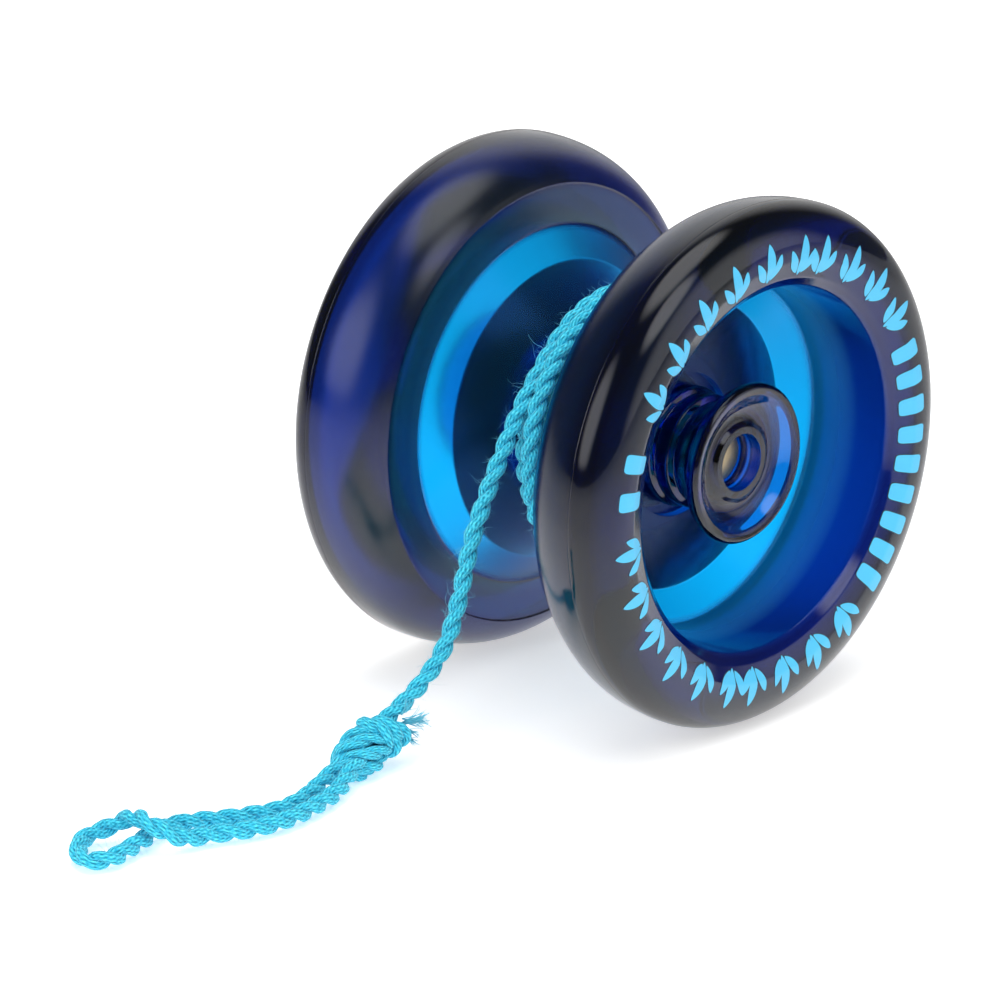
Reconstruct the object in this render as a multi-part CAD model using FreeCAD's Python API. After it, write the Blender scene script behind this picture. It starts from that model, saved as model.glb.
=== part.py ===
# A ball-bearing yo-yo: two turned halves on a threaded axle, a grooved bearing
# between them, and a string wound on the bearing that ends in a finger loop.
#
# Millimetres. +Z is up and +Y is the spin axis, which lies AXLE_HEIGHT above the
# floor, so the yo-yo stands on its two rims. The front half is on the -Y side.
# Every turned piece is drawn as a section in (radius, y), on the +Y side.

import FreeCAD, Part
import math
import os

from FreeCAD import Vector

# ---------------------------------------------------------------- driving dimensions
RIM_RADIUS = 27.75            # largest radius of a half
AXLE_HEIGHT = RIM_RADIUS      # the rims stand on the floor
RIM_Y = 18.3                  # distance of the largest radius from the mid-plane
CREST_Y = 22.1                # outermost point of a half
CREST_RADIUS = 22.6           # middle of the narrow land that the yo-yo lies on
CREST_LAND = 0.6              # width of that land
FACE_POWER = 1.9              # roundness of the rim towards the side face
BULGE_CENTRE_RADIUS = 18.13   # the gap-side bulge is a superellipse about this radius
BULGE_DEPTH = 9.38
BULGE_POWER = 2.33
BULGE_END_RADIUS = 23.7       # where the bulge stops at a fine step
STEP_DEPTH = 0.15

CUP_EDGE_RADIUS = 19.24       # mouth of the side cup
CUP_EDGE_Y = 20.44
FACE_INNER_RADIUS = 20.3
FACE_INNER_Y = 21.35
CUP_WALL_RADIUS = 18.53       # foot of the cup wall
CUP_WALL_Y = 11.51
CUP_FLOOR_RADIUS = 15.42      # the flat floor of the cup starts here
CUP_FLOOR_Y = 8.96
RECESS_RADIUS = 7.6           # sunk ring round the hub post
RECESS_Y = 8.0

SHELF_RADIUS = 19.4           # gap side: shelf, then cone, then flat round the bearing
SHELF_Y = 10.05
CONE_RADIUS = 10.0
GAP_HALF = 2.5                # half of the response gap

PAD_INNER_RADIUS = 7.25
PAD_OUTER_RADIUS = 9.5
PAD_THICKNESS = 1.2

POCKET_RADIUS = 6.75          # clears the bearing's outer ring
POCKET_Y = 3.1
SEAT_BODY_RADIUS = 3.6
SEAT_END_Y = 5.0
SOCKET_RADIUS = 5.4           # the hub post's spigot fits here
SOCKET_Y = 6.2
SPIGOT_CLEARANCE = 0.03

POST_BASE_RADIUS = 6.4
POST_NECK_RADIUS = 5.4
POST_DISC_RADIUS = 8.59
POST_LIP_Y = 17.2
POST_BORE_RADIUS = 3.0
POST_BORE_LENGTH = 2.0
NUT_BODY_RADIUS = 2.5
NUT_HEAD_RADIUS = 2.75
NUT_HEAD_Y = 12.5
NUT_DOME_Y = 14.3
NUT_TOP_Y = 15.1
NUT_CLEARANCE = 0.05

AXLE_RADIUS = 2.0
AXLE_HALF_LENGTH = 12.4
AXLE_CLEARANCE = 0.05
THREAD_PITCH = 0.7
THREAD_DEPTH = 0.3
THREAD_START_Y = 5.4

BEARING_BORE = 3.175
BEARING_RADIUS = 6.35
BEARING_HALF_WIDTH = 2.381
BALL_RADIUS = 0.794
BALL_PITCH_RADIUS = 4.7625
BALL_COUNT = 8
RACE_CLEARANCE = 0.03
INNER_RING_RADIUS = 4.15
OUTER_RING_BORE = 5.375
TRACK_DEPTH = 0.3             # hollow of the string track in the outer ring
CAGE_INNER = 4.42
CAGE_OUTER = 5.1
CAGE_HALF_WIDTH = 1.15
CAGE_CLEARANCE = 0.04
SHIELD_Y = 1.78
SHIELD_THICKNESS = 0.2
SHIELD_INNER = 4.35
SHIELD_OUTER = 5.62
CLIP_Y = 2.0
CLIP_THICKNESS = 0.2
CLIP_INNER = 5.45
CLIP_OUTER = 5.75
CLIP_GAP_DEG = 30.0

STRING_DIAMETER = 2.0
WINDING_RADIUS = 16.6
WINDING_HALF_WIDTH = 2.9
WINDING_THROAT = 2.1          # half-width beside the pads
KNOT_CENTRE = (-36.3, 0.5, 3.0)
KNOT_HALF_LENGTH = 3.4
KNOT_RADIUS = 2.6

# Route of the free string, from the winding to the knot: (x, y, z).
FREE_ROUTE = [
    (-12.2, 0.2, 36.0),
    (-14.3, 0.2, 33.6),
    (-17.5, 0.2, 28.9),
    (-20.9, 0.2, 23.2),
    (-22.6, 0.2, 19.0),
    (-23.8, 0.2, 14.6),
    (-26.2, 0.2, 9.6),
    (-30.6, 0.3, 6.5),
    (-36.0, 0.5, 4.2),
]

# Route of the finger loop on the floor: out from the knot, round the eye and back.
LOOP_ROUTE = [
    (-37.0, 2.0, 2.2),
    (-41.3, 2.3, 1.25),
    (-46.3, 1.1, 1.2),
    (-51.3, -0.3, 1.15),
    (-55.4, 0.5, 1.15),
    (-59.6, 3.2, 1.15),
    (-63.6, 6.1, 1.15),
    (-68.0, 8.9, 1.15),
    (-72.4, 8.6, 1.15),
    (-74.3, 5.1, 1.15),
    (-72.3, 2.0, 1.15),
    (-67.9, 2.3, 1.15),
    (-64.4, 2.5, 1.15),
    (-60.7, 0.4, 1.15),
    (-56.7, -2.1, 1.15),
    (-51.3, -2.9, 1.15),
    (-46.2, -1.5, 1.2),
    (-41.3, -0.6, 1.25),
    (-37.0, -1.0, 2.2),
]

SPIN_AXIS = Vector(0, 1, 0)
AXLE_CENTRE = Vector(0, 0, AXLE_HEIGHT)


# ---------------------------------------------------------------- drawing helpers
def section_point(radius, y):
    return Vector(radius, y, AXLE_HEIGHT)


def rounded_corner(before, corner, after, rounding):
    """Tangent points and middle of the arc that rounds a corner."""
    towards_before = (before - corner).normalize()
    towards_after = (after - corner).normalize()
    half_angle = towards_before.getAngle(towards_after) / 2
    reach = rounding / math.tan(half_angle)
    bisector = (towards_before + towards_after).normalize()
    middle = corner + bisector * (rounding / math.sin(half_angle) - rounding)
    return corner + towards_before * reach, middle, corner + towards_after * reach


def section_edges(stretches):
    """Edges of a closed section.

    A stretch is a corner (radius, y) or (radius, y, rounding), or a list of
    (radius, y) points that one smooth curve passes through.
    """
    curves = [isinstance(stretch, list) for stretch in stretches]
    ends = []
    for stretch, is_curve in zip(stretches, curves):
        first = stretch[0] if is_curve else stretch
        last = stretch[-1] if is_curve else stretch
        ends.append((section_point(*first[:2]), section_point(*last[:2])))
    edges = []
    path = []
    for index, (stretch, is_curve) in enumerate(zip(stretches, curves)):
        start, end = ends[index]
        rounding = 0 if is_curve or len(stretch) < 3 else stretch[2]
        if is_curve:
            spline = Part.BSplineCurve()
            spline.interpolate([section_point(*point) for point in stretch])
            path.append((start, spline.toShape(), end))
        elif rounding:
            before = ends[index - 1][1]
            after = ends[(index + 1) % len(ends)][0]
            arc_start, middle, arc_end = rounded_corner(before, start, after, rounding)
            path.append((arc_start, Part.Arc(arc_start, middle, arc_end).toShape(), arc_end))
        else:
            path.append((start, None, end))
    for index, (start, edge, _) in enumerate(path):
        previous_end = path[index - 1][2]
        if (start - previous_end).Length > 1e-6:
            edges.append(Part.LineSegment(previous_end, start).toShape())
        if edge is not None:
            edges.append(edge)
    return edges


def turned(*stretches):
    """Solid turned about the spin axis from a closed section."""
    face = Part.Face(Part.Wire(section_edges(stretches)))
    solid = face.revolve(AXLE_CENTRE, SPIN_AXIS, 360)
    if solid.ShapeType != "Solid":
        solid = Part.Solid(Part.Shell(solid.Faces))
    if solid.Volume < 0:
        solid.reverse()
    return solid


def superellipse(centre, semi_radius, semi_y, power, start_deg, end_deg, count):
    """Points of a superellipse quarter in (radius, y), from start to end angle."""
    points = []
    for step in range(count + 1):
        angle = math.radians(start_deg + (end_deg - start_deg) * step / count)
        radius = centre[0] + semi_radius * abs(math.cos(angle)) ** (2 / power)
        y = centre[1] + semi_y * abs(math.sin(angle)) ** (2 / power)
        points.append((radius, y))
    return points


def to_front(shape):
    """The same piece on the -Y side: turned half round about the vertical."""
    moved = shape.copy()
    moved.rotate(AXLE_CENTRE, Vector(0, 0, 1), 180)
    return moved


def cord_tube(points, diameter, label):
    """Round tube along straight runs joined by the largest tangent arcs."""
    corners = [Vector(*point) for point in points]
    edges = []
    last = corners[0]
    radii = []
    for before, corner, after in zip(corners, corners[1:], corners[2:]):
        run = min((corner - before).Length, (after - corner).Length)
        turn = (corner - before).getAngle(after - corner)
        radius = 0.45 * run / math.tan(turn / 2)
        radii.append(radius)
        arc_start, middle, arc_end = rounded_corner(before, corner, after, radius)
        edges.append(Part.LineSegment(last, arc_start).toShape())
        edges.append(Part.Arc(arc_start, middle, arc_end).toShape())
        last = arc_end
    edges.append(Part.LineSegment(last, corners[-1]).toShape())
    path = Part.Wire(edges)
    start_direction = corners[1] - corners[0]
    ring = Part.Wire(Part.makeCircle(diameter / 2, corners[0], start_direction))
    tube = path.makePipeShell([ring], True, True)
    expected = math.pi * diameter ** 2 / 4 * path.Length
    print(label, "length", round(path.Length, 1), "volume ratio", round(tube.Volume / expected, 4))
    print(label, "arc radii", [round(radius, 1) for radius in radii])
    return tube


# ---------------------------------------------------------------- halves and posts
def make_half():
    face_semi_radius = RIM_RADIUS - CREST_RADIUS - CREST_LAND / 2
    outer_rim = superellipse((CREST_RADIUS + CREST_LAND / 2, RIM_Y), face_semi_radius,
                             CREST_Y - RIM_Y, FACE_POWER, 0, 90, 10)
    bulge_reach = RIM_RADIUS - BULGE_CENTRE_RADIUS
    end_cosine = ((BULGE_END_RADIUS - BULGE_CENTRE_RADIUS) / bulge_reach) ** (BULGE_POWER / 2)
    bulge = superellipse((BULGE_CENTRE_RADIUS, RIM_Y), bulge_reach, -BULGE_DEPTH, BULGE_POWER,
                         0, math.degrees(math.acos(end_cosine)), 12)
    bulge_end_y = bulge[-1][1]
    crest_inner = CREST_RADIUS - CREST_LAND / 2
    return turned(
        outer_rim,
        (crest_inner, CREST_Y, 1.2),
        (FACE_INNER_RADIUS, FACE_INNER_Y, 1.0),
        (CUP_EDGE_RADIUS, CUP_EDGE_Y, 0.4),
        (CUP_WALL_RADIUS, CUP_WALL_Y, 0.3),
        (CUP_FLOOR_RADIUS, CUP_FLOOR_Y, 0.4),
        (RECESS_RADIUS, CUP_FLOOR_Y),
        (RECESS_RADIUS, RECESS_Y),
        (SOCKET_RADIUS, RECESS_Y),
        (SOCKET_RADIUS, SOCKET_Y),
        (NUT_BODY_RADIUS + NUT_CLEARANCE, SOCKET_Y),
        (NUT_BODY_RADIUS + NUT_CLEARANCE, SEAT_END_Y),
        (SEAT_BODY_RADIUS, SEAT_END_Y),
        (SEAT_BODY_RADIUS, POCKET_Y),
        (POCKET_RADIUS, POCKET_Y),
        (POCKET_RADIUS, GAP_HALF),
        (PAD_INNER_RADIUS, GAP_HALF),
        (PAD_INNER_RADIUS, GAP_HALF + PAD_THICKNESS),
        (PAD_OUTER_RADIUS, GAP_HALF + PAD_THICKNESS),
        (PAD_OUTER_RADIUS, GAP_HALF),
        (CONE_RADIUS, GAP_HALF, 0.4),
        (SHELF_RADIUS, SHELF_Y, 0.8),
        (BULGE_END_RADIUS - STEP_DEPTH, bulge_end_y + STEP_DEPTH),
        bulge[::-1],
    )


def make_hub_post():
    bore_foot_y = POST_LIP_Y - POST_BORE_LENGTH
    return turned(
        (NUT_BODY_RADIUS + NUT_CLEARANCE, SOCKET_Y),
        (SOCKET_RADIUS - SPIGOT_CLEARANCE, SOCKET_Y),
        (SOCKET_RADIUS - SPIGOT_CLEARANCE, RECESS_Y),
        (POST_BASE_RADIUS, RECESS_Y),
        (POST_BASE_RADIUS, RECESS_Y + 2.0, 0.5),
        (POST_BASE_RADIUS - 0.75, RECESS_Y + 2.35, 0.2),
        (POST_BASE_RADIUS - 0.75, RECESS_Y + 2.75, 0.2),
        (POST_BASE_RADIUS - 0.35, RECESS_Y + 3.0, 0.3),
        (POST_BASE_RADIUS - 0.35, RECESS_Y + 4.2, 0.4),
        (POST_NECK_RADIUS - 0.1, RECESS_Y + 4.6, 0.2),
        (POST_NECK_RADIUS - 0.1, RECESS_Y + 5.0, 0.2),
        (POST_NECK_RADIUS + 0.25, RECESS_Y + 5.4, 0.3),
        (POST_NECK_RADIUS + 0.1, RECESS_Y + 6.6, 0.8),
        (POST_DISC_RADIUS - 0.35, POST_LIP_Y - 0.5, 0.8),
        (POST_DISC_RADIUS, POST_LIP_Y + 0.5, 0.6),
        (POST_DISC_RADIUS - 0.5, POST_LIP_Y + 1.05, 0.35),
        (POST_DISC_RADIUS - 1.3, POST_LIP_Y + 0.85, 0.5),
        [
            (POST_DISC_RADIUS - 1.65, POST_LIP_Y + 0.55),
            (5.9, POST_LIP_Y - 0.25),
            (5.0, POST_LIP_Y - 0.55),
            (4.25, POST_LIP_Y - 0.4),
        ],
        (POST_BORE_RADIUS + 0.8, POST_LIP_Y, 0.2),
        (POST_BORE_RADIUS, POST_LIP_Y),
        (POST_BORE_RADIUS, bore_foot_y),
        (NUT_HEAD_RADIUS + NUT_CLEARANCE, bore_foot_y),
        (NUT_HEAD_RADIUS + NUT_CLEARANCE, NUT_HEAD_Y),
        (NUT_BODY_RADIUS + NUT_CLEARANCE, NUT_HEAD_Y),
    )


def make_axle_nut():
    bore = AXLE_RADIUS + AXLE_CLEARANCE
    rise = NUT_TOP_Y - NUT_DOME_Y
    dome = [(NUT_HEAD_RADIUS * math.cos(angle), NUT_DOME_Y + rise * math.sin(angle))
            for angle in (math.radians(90 * step / 6) for step in range(6))]
    dome.append((0.0, NUT_TOP_Y))
    return turned(
        (0.0, NUT_HEAD_Y + 1.1),
        (bore, NUT_HEAD_Y + 0.5),
        (bore, SEAT_END_Y + 0.2),
        (NUT_BODY_RADIUS, SEAT_END_Y + 0.2),
        (NUT_BODY_RADIUS, NUT_HEAD_Y),
        (NUT_HEAD_RADIUS, NUT_HEAD_Y),
        dome,
    )


def make_bearing_seat():
    bore = AXLE_RADIUS + AXLE_CLEARANCE
    stub = BEARING_BORE - 0.02
    return turned(
        (bore, 0.1),
        (stub - 0.2, 0.1),
        (stub, 0.3),
        (stub, BEARING_HALF_WIDTH + 0.02),
        (stub + 0.8, BEARING_HALF_WIDTH + 0.02, 0.15),
        (stub + 0.8, POCKET_Y),
        (SEAT_BODY_RADIUS, POCKET_Y),
        (SEAT_BODY_RADIUS, SEAT_END_Y),
        (bore, SEAT_END_Y),
    )


def make_response_pad():
    return turned(
        (PAD_INNER_RADIUS, GAP_HALF, 0.2),
        (PAD_OUTER_RADIUS, GAP_HALF, 0.2),
        (PAD_OUTER_RADIUS, GAP_HALF + PAD_THICKNESS),
        (PAD_INNER_RADIUS, GAP_HALF + PAD_THICKNESS),
    )


def make_axle():
    """Rod with ring-shaped thread grooves at both ends."""
    crest = AXLE_RADIUS
    root = AXLE_RADIUS - THREAD_DEPTH
    rings = []
    y = THREAD_START_Y
    while y + THREAD_PITCH < AXLE_HALF_LENGTH - 0.4:
        rings.append((crest, y))
        rings.append((root, y + THREAD_PITCH / 2))
        y += THREAD_PITCH
    rings.append((crest, y))
    rings.append((crest, AXLE_HALF_LENGTH - 0.4))
    rings.append((root, AXLE_HALF_LENGTH))
    mirrored = [(radius, -y) for radius, y in reversed(rings)]
    return turned((0.0, -AXLE_HALF_LENGTH), *mirrored, *rings, (0.0, AXLE_HALF_LENGTH))


# ---------------------------------------------------------------- bearing
def race_groove():
    """Ring that the balls run in, cut from both bearing rings."""
    centre = section_point(BALL_PITCH_RADIUS, 0)
    circle = Part.makeCircle(BALL_RADIUS + RACE_CLEARANCE, centre, Vector(0, 0, 1))
    return Part.Face(Part.Wire(circle)).revolve(AXLE_CENTRE, SPIN_AXIS, 360)


def make_inner_ring():
    half = BEARING_HALF_WIDTH
    ring = turned(
        (BEARING_BORE, -half),
        (INNER_RING_RADIUS, -half, 0.1),
        (INNER_RING_RADIUS, half, 0.1),
        (BEARING_BORE, half),
    )
    return ring.cut(race_groove())


def make_outer_ring():
    half = BEARING_HALF_WIDTH
    land = 0.45
    groove_radius = SHIELD_OUTER + 0.03
    track_y = half - land
    track = [(BEARING_RADIUS - TRACK_DEPTH * math.cos(math.pi / 2 * side), track_y * side)
             for side in (-1, -0.75, -0.5, -0.25, 0, 0.25, 0.5, 0.75, 1)]
    ring = turned(
        (OUTER_RING_BORE, -SHIELD_Y),
        (groove_radius, -SHIELD_Y),
        (groove_radius, -CLIP_Y),
        (CLIP_OUTER, -CLIP_Y),
        (CLIP_OUTER, -CLIP_Y - CLIP_THICKNESS),
        (groove_radius, -CLIP_Y - CLIP_THICKNESS),
        (groove_radius, -half),
        (BEARING_RADIUS, -half, 0.12),
        track,
        (BEARING_RADIUS, half, 0.12),
        (groove_radius, half),
        (groove_radius, CLIP_Y + CLIP_THICKNESS),
        (CLIP_OUTER, CLIP_Y + CLIP_THICKNESS),
        (CLIP_OUTER, CLIP_Y),
        (groove_radius, CLIP_Y),
        (groove_radius, SHIELD_Y),
        (OUTER_RING_BORE, SHIELD_Y),
    )
    return ring.cut(race_groove())


def ball_centres():
    centres = []
    for index in range(BALL_COUNT):
        angle = 2 * math.pi * index / BALL_COUNT
        offset = Vector(BALL_PITCH_RADIUS * math.cos(angle), 0, BALL_PITCH_RADIUS * math.sin(angle))
        centres.append(AXLE_CENTRE + offset)
    return centres


def make_cage():
    ring = turned(
        (CAGE_INNER, -CAGE_HALF_WIDTH),
        (CAGE_OUTER, -CAGE_HALF_WIDTH),
        (CAGE_OUTER, CAGE_HALF_WIDTH),
        (CAGE_INNER, CAGE_HALF_WIDTH),
    )
    for centre in ball_centres():
        ring = ring.cut(Part.makeSphere(BALL_RADIUS + CAGE_CLEARANCE, centre))
    return ring


def make_shield():
    return turned(
        (SHIELD_INNER, SHIELD_Y),
        (SHIELD_OUTER, SHIELD_Y),
        (SHIELD_OUTER, SHIELD_Y + SHIELD_THICKNESS),
        (SHIELD_INNER, SHIELD_Y + SHIELD_THICKNESS),
    )


def make_shield_clip():
    """Flat spring ring with a gap at the top."""
    section = Part.makePolygon([
        section_point(CLIP_INNER, CLIP_Y),
        section_point(CLIP_OUTER, CLIP_Y),
        section_point(CLIP_OUTER, CLIP_Y + CLIP_THICKNESS),
        section_point(CLIP_INNER, CLIP_Y + CLIP_THICKNESS),
        section_point(CLIP_INNER, CLIP_Y),
    ])
    clip = Part.Face(section).revolve(AXLE_CENTRE, SPIN_AXIS, 360 - CLIP_GAP_DEG)
    clip.rotate(AXLE_CENTRE, SPIN_AXIS, -90 + CLIP_GAP_DEG / 2)
    return clip


# ---------------------------------------------------------------- string
def make_winding():
    inner = BEARING_RADIUS + 0.01
    return turned(
        (inner, -WINDING_THROAT, 0.3),
        (CONE_RADIUS + 0.5, -WINDING_THROAT, 2.0),
        (13.5, -WINDING_HALF_WIDTH, 2.0),
        (WINDING_RADIUS, -WINDING_HALF_WIDTH, 0.9),
        (WINDING_RADIUS, WINDING_HALF_WIDTH, 0.9),
        (13.5, WINDING_HALF_WIDTH, 2.0),
        (CONE_RADIUS + 0.5, WINDING_THROAT, 2.0),
        (inner, WINDING_THROAT, 0.3),
    )


def make_knot():
    """Egg-shaped knot that lies on the floor, long way along X."""
    centre = Vector(*KNOT_CENTRE)
    ball = Part.makeSphere(KNOT_RADIUS, Vector(0, 0, 0))
    stretch = FreeCAD.Matrix()
    stretch.scale(KNOT_HALF_LENGTH / KNOT_RADIUS, 1, 1)
    knot = ball.transformGeometry(stretch)
    knot.translate(centre)
    return knot


# ---------------------------------------------------------------- all the nodes
def build():
    nodes = {}
    pairs = {
        "half": make_half,
        "hub_post": make_hub_post,
        "axle_nut": make_axle_nut,
        "bearing_seat": make_bearing_seat,
        "response_pad": make_response_pad,
        "shield": make_shield,
        "shield_clip": make_shield_clip,
    }
    for name, maker in pairs.items():
        piece = maker()
        nodes["rear_" + name] = piece
        nodes["front_" + name] = to_front(piece)
    nodes["axle"] = make_axle()
    nodes["bearing_inner_ring"] = make_inner_ring()
    nodes["bearing_outer_ring"] = make_outer_ring()
    nodes["bearing_cage"] = make_cage()
    for index, centre in enumerate(ball_centres(), start=1):
        nodes["ball_%d" % index] = Part.makeSphere(BALL_RADIUS, centre)
    nodes["string_winding"] = make_winding()
    nodes["string_free"] = cord_tube(FREE_ROUTE, STRING_DIAMETER, "string_free")
    nodes["string_knot"] = make_knot()
    nodes["finger_loop"] = cord_tube(LOOP_ROUTE, STRING_DIAMETER, "finger_loop")
    return nodes


def main():
    os.makedirs("parts", exist_ok=True)
    for name, shape in build().items():
        if not shape.isValid() or shape.Volume <= 0:
            print("BAD SHAPE", name, shape.isValid(), round(shape.Volume, 2))
        shape.exportStep(os.path.join("parts", name + ".step"))
        box = shape.BoundBox
        print("%-20s %10.2f mm3  z %.2f..%.2f" % (name, shape.Volume, box.ZMin, box.ZMax))


main()
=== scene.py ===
"""A ball-bearing yo-yo of translucent blue plastic with its string paid out on the floor.

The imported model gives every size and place. The turned pieces are turned again here from
their own section outlines, with softened edges; the string is laid along one smooth curve.
"""

import math
import random

import bmesh
import bpy
import numpy as np
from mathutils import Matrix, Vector


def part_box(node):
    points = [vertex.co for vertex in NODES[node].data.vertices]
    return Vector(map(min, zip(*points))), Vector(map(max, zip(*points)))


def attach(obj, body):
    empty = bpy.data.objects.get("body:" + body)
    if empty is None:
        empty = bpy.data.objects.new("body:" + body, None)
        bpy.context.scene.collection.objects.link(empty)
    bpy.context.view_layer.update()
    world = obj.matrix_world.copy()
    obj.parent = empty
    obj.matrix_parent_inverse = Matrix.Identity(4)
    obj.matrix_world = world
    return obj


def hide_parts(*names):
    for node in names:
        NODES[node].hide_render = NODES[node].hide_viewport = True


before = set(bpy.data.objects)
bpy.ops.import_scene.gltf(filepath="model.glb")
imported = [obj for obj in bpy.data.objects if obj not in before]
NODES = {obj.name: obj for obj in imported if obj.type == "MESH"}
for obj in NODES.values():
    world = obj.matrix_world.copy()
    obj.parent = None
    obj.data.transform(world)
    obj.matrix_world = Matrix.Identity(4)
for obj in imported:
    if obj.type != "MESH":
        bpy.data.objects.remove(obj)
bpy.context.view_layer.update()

MM = 0.001
ROTOR = "rotor"
FRONT = "front_side"
STRING = "string_and_ring"

half_low, half_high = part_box("rear_half")
AXLE_Z = (half_low.z + half_high.z) / 2
HALF_WIDTH = half_high.y
knot_low, knot_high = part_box("string_knot")
KNOT_CENTRE = (knot_low + knot_high) / 2

CAMERA_AZIMUTH = math.radians(-47.41)
CAMERA_ELEVATION = math.radians(20.11)
CAMERA_DISTANCE = 0.6005
CAMERA_LENS = 207.5             # for a sensor 36 wide
VIEW_LEFT = 12.07 * MM          # from the middle of the yo-yo to the middle of the view
VIEW_DOWN = 7.83 * MM
FLOOR_Z = -0.0003
FLOOR_RADIUS = 1.2

PLASTIC_IOR = 1.58
CLEARNESS = 0.98                # transmission of the moulded halves where they have no haze

STRING_DIAMETER = 2.0 * MM
TWIST_PITCH = 4.9 * MM          # one full turn of the two plies
PLY_SHARE = 0.285               # radius of a ply, as a share of the cord's diameter
PLY_SQUASH = (0.92, 1.12)       # a ply's section, along the line to the other ply and across it
YARNS = 9                       # yarns that show round each ply
YARN_TWIST = 1.0                # turns of the yarns in their ply for one turn of the plies
GRAINS_PER_MM = 1.5             # along the cord, from the twist of each yarn
CORD_STEP = 0.24 * MM           # between the rings of the cord's mesh
FUZZ_HAIRS = 1700
FUZZ_REACH = 235 * MM           # length of string with fuzz, from the end of the loop's route
FIBRE_SIDES = 3

LATHE_SEGMENTS = 288
SHARP_TURN = math.radians(22)   # corners of a section outline that turn by less are left as they are
EDGE_SOFTENING = 0.09 * MM      # cut back from every sharp turned edge, on each side of it
CURVE_STEP = 0.12 * MM          # curved stretches of an outline are divided about this finely
LONG_STRETCH = 0.5 * MM         # a straight stretch longer than this gets a loop near each end,
EDGE_MARGIN = 0.08 * MM         # this far from it
ON_AXIS = 1e-7                  # nearer to the spin axis than this counts as on it
FIT_GAP = 0.02 * MM             # air left round a piece that sits in a clear moulding
PARTING_DEPTH = 0.05 * MM       # groove that the mould's parting left round each rim
PARTING_HALF_WIDTH = 0.07 * MM


# ------------------------------------------------------------------ camera, light and floor
def aim(obj, place, target):
    obj.location = place
    obj.rotation_euler = (Vector(target) - Vector(place)).to_track_quat("-Z", "Y").to_euler()


def make_camera():
    """Long lens, from the front left and 20 degrees above."""
    back = Vector((math.cos(CAMERA_ELEVATION) * math.sin(CAMERA_AZIMUTH),
                   -math.cos(CAMERA_ELEVATION) * math.cos(CAMERA_AZIMUTH),
                   math.sin(CAMERA_ELEVATION)))
    right = Vector((math.cos(CAMERA_AZIMUTH), math.sin(CAMERA_AZIMUTH), 0))
    up = back.cross(right)
    middle = Vector((0, 0, AXLE_Z)) - right * VIEW_LEFT - up * VIEW_DOWN
    data = bpy.data.cameras.new("camera")
    data.sensor_width = 36
    data.lens = CAMERA_LENS
    data.clip_start = 0.05
    data.clip_end = 20
    camera = bpy.data.objects.new("camera", data)
    bpy.context.scene.collection.objects.link(camera)
    aim(camera, middle + back * CAMERA_DISTANCE, middle)
    bpy.context.scene.camera = camera


def make_floor():
    count = 96
    ring = [(FLOOR_RADIUS * math.cos(2 * math.pi * step / count),
             FLOOR_RADIUS * math.sin(2 * math.pi * step / count), FLOOR_Z) for step in range(count)]
    mesh_object("floor", ring, [tuple(range(count))], floor_material(), smooth=False)


# Soft patches of light round a dark studio: a patch's direction, the cosines of the angle from it at
# which the patch starts and is full, its strength, and the height in the sky below which it is cut off.
STUDIO_PATCHES = [
    ((0.05, -0.12, 0.99), 0.880, 0.965, 1.9, -1.0),      # overhead
    ((-0.02, -0.74, 0.67), 0.955, 0.988, 2.0, -1.0),     # front, high
    ((-0.91, 0.09, 0.40), 0.870, 0.980, 1.6, 0.08),      # left, cut off straight below
    ((0.68, 0.62, 0.40), 0.700, 0.985, 1.0, -1.0),       # backdrop
    ((0.45, -0.89, 0.05), 0.820, 0.960, 1.0, -1.0),      # front, low
]
STUDIO_FILL = 0.07


def make_world():
    """The studio's patches of light; to the camera the background is plain white."""
    world = bpy.data.worlds.new("studio")
    bpy.context.scene.world = world
    world.use_nodes = True
    tree = world.node_tree
    place = tree.nodes.new("ShaderNodeTexCoord")
    level = None
    height = tree.nodes.new("ShaderNodeSeparateXYZ")
    tree.links.new(place.outputs["Generated"], height.inputs[0])
    for direction, edge, middle, strength, lowest in STUDIO_PATCHES:
        facing = tree.nodes.new("ShaderNodeVectorMath")
        facing.operation = "DOT_PRODUCT"
        facing.inputs[1].default_value = Vector(direction).normalized()
        tree.links.new(place.outputs["Generated"], facing.inputs[0])
        patch = tree.nodes.new("ShaderNodeMapRange")
        patch.interpolation_type = "SMOOTHSTEP"
        patch.inputs["From Min"].default_value = edge
        patch.inputs["From Max"].default_value = middle
        tree.links.new(facing.outputs["Value"], patch.inputs["Value"])
        above = scaled(tree, height.outputs["Z"], lowest, lowest + 0.05)
        light = maths(tree, "MULTIPLY", patch.outputs["Result"], above)
        light = maths(tree, "MULTIPLY", light, strength)
        level = light if level is None else maths(tree, "ADD", level, light)
    rays = tree.nodes.new("ShaderNodeLightPath")
    level = maths(tree, "ADD", level, STUDIO_FILL)
    level = maths(tree, "MAXIMUM", level, rays.outputs["Is Camera Ray"])
    background = tree.nodes["Background"]
    background.inputs["Color"].default_value = (1, 1, 1, 1)
    tree.links.new(level, background.inputs["Strength"])


def make_area_light(name, place, target, size, power):
    """Softbox that lights the scene but doesn't show in reflections or through the plastic."""
    data = bpy.data.lights.new(name, "AREA")
    data.shape = "RECTANGLE"
    data.size, data.size_y = size
    data.energy = power
    light = bpy.data.objects.new(name, data)
    light.visible_glossy = False
    light.visible_transmission = False
    bpy.context.scene.collection.objects.link(light)
    aim(light, place, target)


def make_lights():
    middle = (0, 0, AXLE_Z)
    make_area_light("top_softbox", (-0.10, -0.20, 1.2), middle, (1.4, 1.4), 9)
    make_area_light("left_softbox", (-0.70, -0.10, 0.40), middle, (0.4, 0.5), 1.6)


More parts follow.
